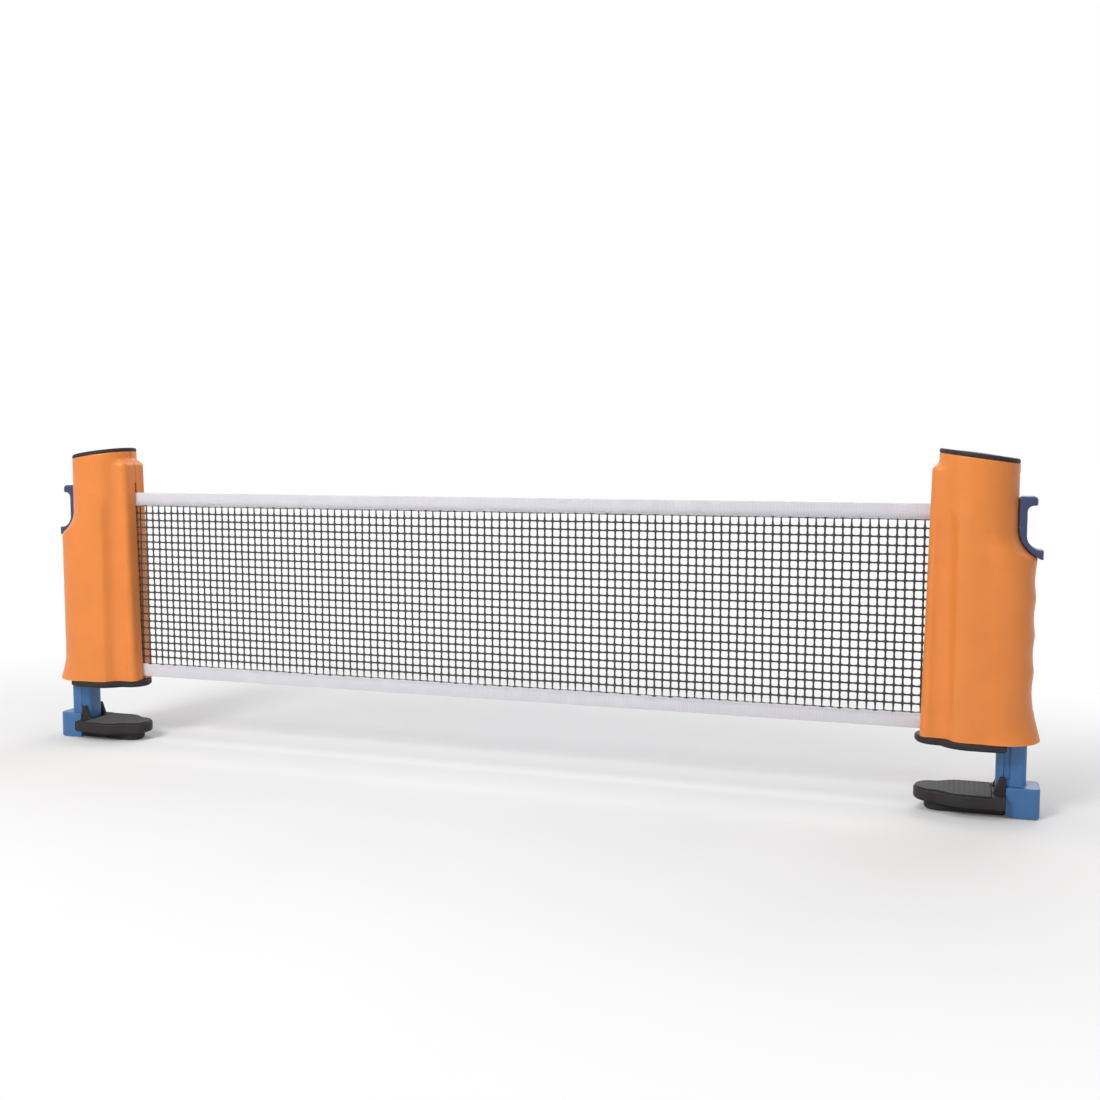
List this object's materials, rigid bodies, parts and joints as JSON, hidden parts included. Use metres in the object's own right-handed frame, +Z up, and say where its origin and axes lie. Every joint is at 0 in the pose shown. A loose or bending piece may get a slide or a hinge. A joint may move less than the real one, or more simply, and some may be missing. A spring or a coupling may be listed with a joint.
{
  "type": "retractable table tennis net set",
  "caption": "Retractable table tennis net between a pair of sprung clamp posts, each with a finger trigger, a sliding jaw and a roller that takes the net in.",
  "frame": {"origin": "on the surface that the open jaws stand on, midway between the posts and front to rear", "axes": "+X along the net to the right post, +Y to the rear, +Z up"},
  "size_m": [0.7612, 0.05, 0.2399],
  "materials": {
    "orange_abs": "satin moulded",
    "black_plastic": "satin moulded",
    "blue_plastic": "satin moulded",
    "navy_plastic": "satin moulded",
    "pad_rubber": "matt",
    "screw_steel": "zinc plated",
    "spring_steel": "drawn wire",
    "roller_plastic": "moulded",
    "net_cord": "knotless cord",
    "net_tape": "woven tape"
  },
  "bodies": {
    "left_post": {"left_shell_front": "orange_abs", "left_shell_rear": "orange_abs", "left_top_cap": "black_plastic", "left_base_plate": "black_plastic", "left_base_pad": "pad_rubber", "left_base_screws": "screw_steel", "left_shell_screws": "screw_steel", "left_spring_arbor": "spring_steel", "left_return_spring": "spring_steel", "net_mesh": "net_cord", "net_top_tape": "net_tape", "net_bottom_tape": "net_tape"},
    "left_jaw": {"left_slider": "blue_plastic", "left_trigger": "navy_plastic", "left_trigger_screw": "screw_steel", "left_jaw_plate": "black_plastic", "left_jaw_pad": "pad_rubber", "left_jaw_screws": "screw_steel", "left_clamp_spring": "spring_steel"},
    "left_roller": {"left_roller_tube": "roller_plastic", "left_top_bush": "roller_plastic", "left_bottom_bush": "roller_plastic", "left_net_roll": "net_cord", "left_net_bar": "black_plastic"},
    "right_post": {"right_shell_front": "orange_abs", "right_shell_rear": "orange_abs", "right_top_cap": "black_plastic", "right_base_plate": "black_plastic", "right_base_pad": "pad_rubber", "right_base_screws": "screw_steel", "right_shell_screws": "screw_steel", "right_spring_arbor": "spring_steel", "right_return_spring": "spring_steel"},
    "right_jaw": {"right_slider": "blue_plastic", "right_trigger": "navy_plastic", "right_trigger_screw": "screw_steel", "right_jaw_plate": "black_plastic", "right_jaw_pad": "pad_rubber", "right_jaw_screws": "screw_steel", "right_clamp_spring": "spring_steel"},
    "right_roller": {"right_roller_tube": "roller_plastic", "right_top_bush": "roller_plastic", "right_bottom_bush": "roller_plastic", "right_net_roll": "net_cord", "right_net_bar": "black_plastic"}
  },
  "joints": [
    {"name": "net_pull", "type": "slide", "parent": "left_post", "child": "right_post", "axis": [1, 0, 0], "range_m": [-0.602, 1.05], "stiffness_N_per_m": 6, "springref_m": -0.9, "deforming": ["net_mesh", "net_top_tape", "net_bottom_tape"]},
    {"name": "left_jaw_slide", "type": "slide", "parent": "left_post", "child": "left_jaw", "axis": [0, 0, 1], "range_m": [0, 0.028], "stiffness_N_per_m": 500, "springref_m": 0.04, "deforming": ["left_clamp_spring"]},
    {"name": "left_roller_spin", "type": "hinge", "parent": "left_post", "child": "left_roller", "pos_m": [-0.329, 0, 0.1275], "axis": [0, 0, 1], "continuous": true},
    {"name": "right_jaw_slide", "type": "slide", "parent": "right_post", "child": "right_jaw", "axis": [0, 0, 1], "range_m": [0, 0.028], "stiffness_N_per_m": 500, "springref_m": 0.04, "deforming": ["right_clamp_spring"]},
    {"name": "right_roller_spin", "type": "hinge", "parent": "right_post", "child": "right_roller", "pos_m": [0.329, 0, 0.1275], "axis": [0, 0, 1], "continuous": true}
  ],
  "couplings": [
    {"joint": "left_roller_spin", "follows": "net_pull", "rad_per_m": -36.765},
    {"joint": "right_roller_spin", "follows": "net_pull", "rad_per_m": 36.765}
  ]
}
